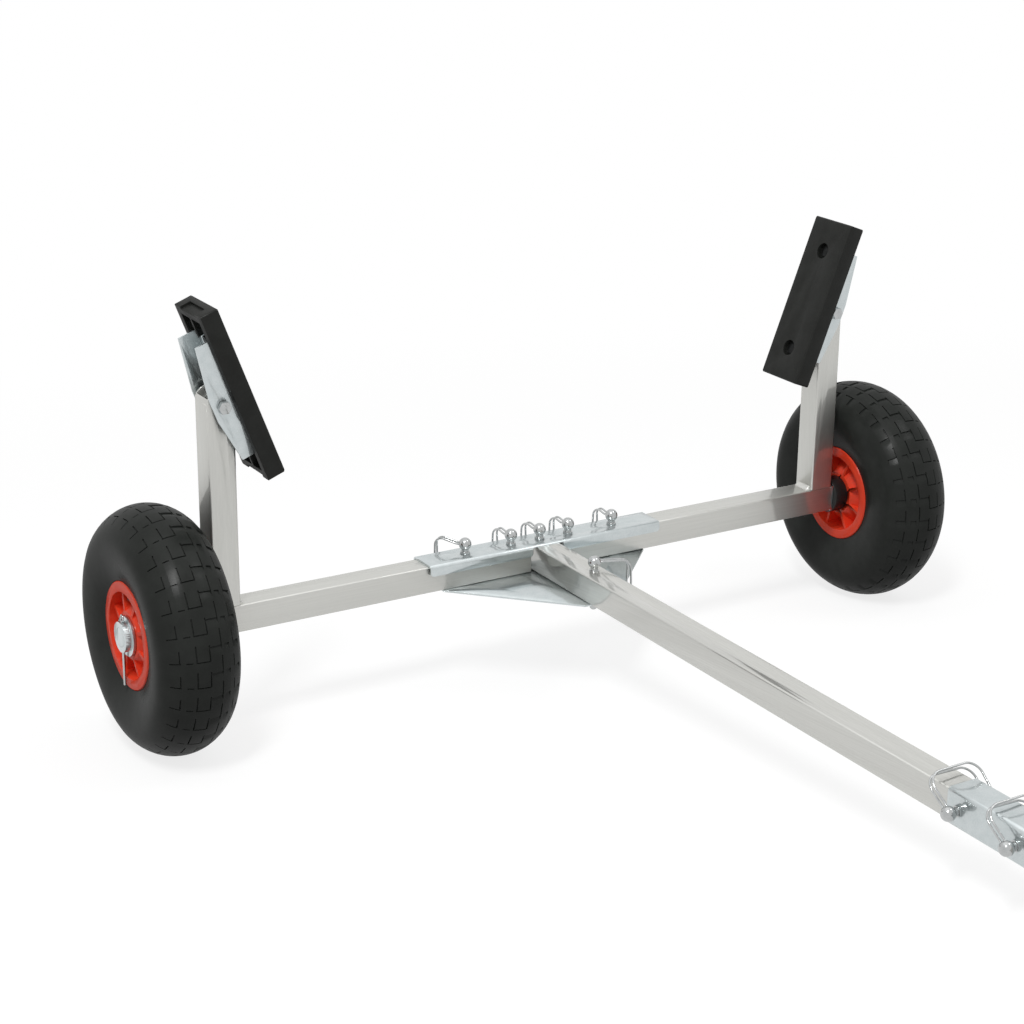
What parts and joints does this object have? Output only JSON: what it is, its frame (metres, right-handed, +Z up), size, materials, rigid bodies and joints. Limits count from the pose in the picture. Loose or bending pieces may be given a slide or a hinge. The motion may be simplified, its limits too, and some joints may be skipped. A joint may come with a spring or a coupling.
{
  "type": "boat trolley",
  "caption": "Hand-drawn boat launching trolley: air-tyred wheels on an aluminium beam, tilting hull pads on uprights, and a pinned drawbar that ends in a cross handle.",
  "frame": {"origin": "on the floor, under the middle of the parked trolley's bounding box", "axes": "+Z up, +X along the axle to the right wheel as seen from the handle, the drawbar runs towards -Y"},
  "size_m": [0.992, 1.6428, 0.4652],
  "materials": {
    "aluminium": "mill-finish extruded aluminium tube",
    "zinc_steel": "folded sheet steel, blue-white zinc plate",
    "bright_pins": "bright zinc-plated steel",
    "black_screws": "blackened steel screws",
    "tyre": "moulded black rubber",
    "rim_plastic": "red moulded polypropylene",
    "bush_plastic": "black nylon",
    "valve_rubber": "black rubber valve",
    "hull_pad": "black moulded rubber",
    "grip_rubber": "black rubber grip"
  },
  "bodies": {
    "frame": {"coupling_channel": "zinc_steel", "gusset_plate": "zinc_steel", "drawbar_rear": "aluminium", "drawbar_sleeve": "zinc_steel", "drawbar_front": "aluminium", "handle_bar": "aluminium", "beam_left": "aluminium", "beam_right": "aluminium", "upright_left": "aluminium", "upright_right": "aluminium", "axle_left": "zinc_steel", "axle_right": "zinc_steel", "axle_collar_left": "zinc_steel", "axle_collar_right": "zinc_steel", "split_pin_left": "bright_pins", "split_pin_right": "bright_pins", "handle_grip_left": "grip_rubber", "handle_grip_right": "grip_rubber", "pivot_bolt_left": "bright_pins", "pivot_bolt_right": "bright_pins", "pivot_spacers_left": "bush_plastic", "pivot_spacers_right": "bush_plastic", "lock_pin_beam_left_outer": "bright_pins", "bail_beam_left_outer": "bright_pins", "lock_pin_beam_left_inner": "bright_pins", "bail_beam_left_inner": "bright_pins", "lock_pin_beam_centre": "bright_pins", "bail_beam_centre": "bright_pins", "lock_pin_beam_right_inner": "bright_pins", "bail_beam_right_inner": "bright_pins", "lock_pin_beam_right_outer": "bright_pins", "bail_beam_right_outer": "bright_pins", "lock_pin_drawbar": "bright_pins", "bail_drawbar": "bright_pins", "lock_pin_sleeve_rear": "bright_pins", "bail_sleeve_rear": "bright_pins", "lock_pin_sleeve_front": "bright_pins", "bail_sleeve_front": "bright_pins"},
    "left_wheel": {"tyre_left": "tyre", "rim_left": "rim_plastic", "hub_bush_left": "bush_plastic", "valve_left": "valve_rubber"},
    "right_wheel": {"tyre_right": "tyre", "rim_right": "rim_plastic", "hub_bush_right": "bush_plastic", "valve_right": "valve_rubber"},
    "left_pad": {"pad_left": "hull_pad", "pad_bracket_left": "zinc_steel", "pad_screws_left": "black_screws"},
    "right_pad": {"pad_right": "hull_pad", "pad_bracket_right": "zinc_steel", "pad_screws_right": "black_screws"}
  },
  "joints": [
    {"name": "left_wheel_spin", "type": "hinge", "parent": "frame", "child": "left_wheel", "pos_m": [-0.452, 0.69137, 0.13], "axis": [1, 0, 0], "continuous": true},
    {"name": "right_wheel_spin", "type": "hinge", "parent": "frame", "child": "right_wheel", "pos_m": [0.452, 0.69137, 0.13], "axis": [1, 0, 0], "continuous": true},
    {"name": "left_pad_tilt", "type": "hinge", "parent": "frame", "child": "left_pad", "pos_m": [-0.383, 0.67397, 0.36034], "axis": [0, -0.9972, -0.0753], "range_deg": [0, 115]},
    {"name": "right_pad_tilt", "type": "hinge", "parent": "frame", "child": "right_pad", "pos_m": [0.383, 0.67397, 0.36034], "axis": [0, 0.9972, 0.0753], "range_deg": [0, 115]}
  ]
}
